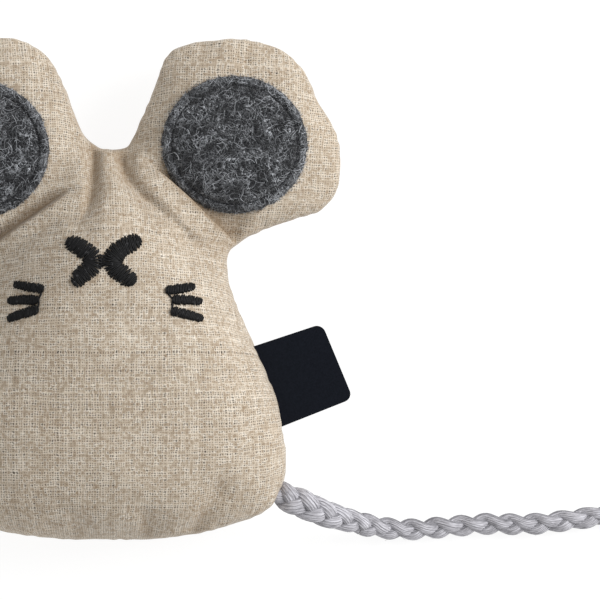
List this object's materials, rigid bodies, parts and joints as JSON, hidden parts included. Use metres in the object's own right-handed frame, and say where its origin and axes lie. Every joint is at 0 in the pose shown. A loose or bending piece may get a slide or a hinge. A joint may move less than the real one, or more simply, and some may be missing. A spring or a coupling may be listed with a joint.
{
  "type": "catnip mouse",
  "caption": "Stuffed linen cat toy in the shape of a mouse, with felt-lined round ears, an embroidered nose and whiskers, a side label and a plaited tail.",
  "frame": {"origin": "middle of the flat patch on the back that the mouse lies on", "axes": "+Z out of the face, away from the table; +Y towards the ears; +X towards the side with the label and the tail"},
  "size_m": [0.2168, 0.1266, 0.041],
  "materials": {
    "linen": "matte",
    "filling": "matte",
    "felt": "matte",
    "topstitch_thread": "matte",
    "embroidery_thread": "satin",
    "label_tape": "satin",
    "tail_cotton": "matte",
    "pouch_muslin": "matte",
    "dried_herb": "matte"
  },
  "bodies": {
    "torso": {"body_front_panel": "linen", "body_back_panel": "linen", "body_front_filling": "filling", "body_back_filling": "filling", "catnip_pouch": "pouch_muslin", "dried_catnip": "dried_herb", "pouch_tie": "embroidery_thread", "nose_stitch_right": "embroidery_thread", "nose_stitch_left": "embroidery_thread", "whisker_right_upper": "embroidery_thread", "whisker_right_middle": "embroidery_thread", "whisker_right_lower": "embroidery_thread", "whisker_left_upper": "embroidery_thread", "whisker_left_middle": "embroidery_thread", "whisker_left_lower": "embroidery_thread", "label_seam_end": "label_tape", "tail_seam_end": "tail_cotton"},
    "right_ear": {"right_ear_front_panel": "linen", "right_ear_back_panel": "linen", "right_ear_filling": "filling", "right_ear_felt": "felt", "right_felt_topstitch": "topstitch_thread"},
    "left_ear": {"left_ear_front_panel": "linen", "left_ear_back_panel": "linen", "left_ear_filling": "filling", "left_ear_felt": "felt", "left_felt_topstitch": "topstitch_thread"},
    "label": {"side_label": "label_tape"},
    "tail_base": {"tail_near": "tail_cotton"},
    "tail_tip": {"tail_far": "tail_cotton", "tail_knot": "tail_cotton", "tail_tuft": "tail_cotton"}
  },
  "joints": [
    {"name": "right_ear_fold", "type": "hinge", "parent": "torso", "child": "right_ear", "pos_m": [0.018, 0.0395, 0.0165], "axis": [0.6871, -0.7266, 0], "range_deg": [-30, 30], "stiffness_Nm_per_rad": 0.03},
    {"name": "left_ear_fold", "type": "hinge", "parent": "torso", "child": "left_ear", "pos_m": [-0.018, 0.0395, 0.0165], "axis": [0.6871, 0.7266, 0], "range_deg": [-30, 30], "stiffness_Nm_per_rad": 0.03},
    {"name": "label_flap", "type": "hinge", "parent": "torso", "child": "label", "pos_m": [0.04223, -0.00627, 0.0165], "axis": [0.3232, -0.9463, 0], "range_deg": [-70, 70], "stiffness_Nm_per_rad": 0.0005},
    {"name": "tail_swing", "type": "hinge", "parent": "torso", "child": "tail_base", "pos_m": [0.0458, -0.03469, 0.0165], "axis": [0, 0, 1], "range_deg": [-40, 40]},
    {"name": "tail_bend", "type": "hinge", "parent": "tail_base", "child": "tail_tip", "pos_m": [0.0961, -0.04059, 0.003], "axis": [0, 0, 1], "range_deg": [-60, 60]}
  ]
}
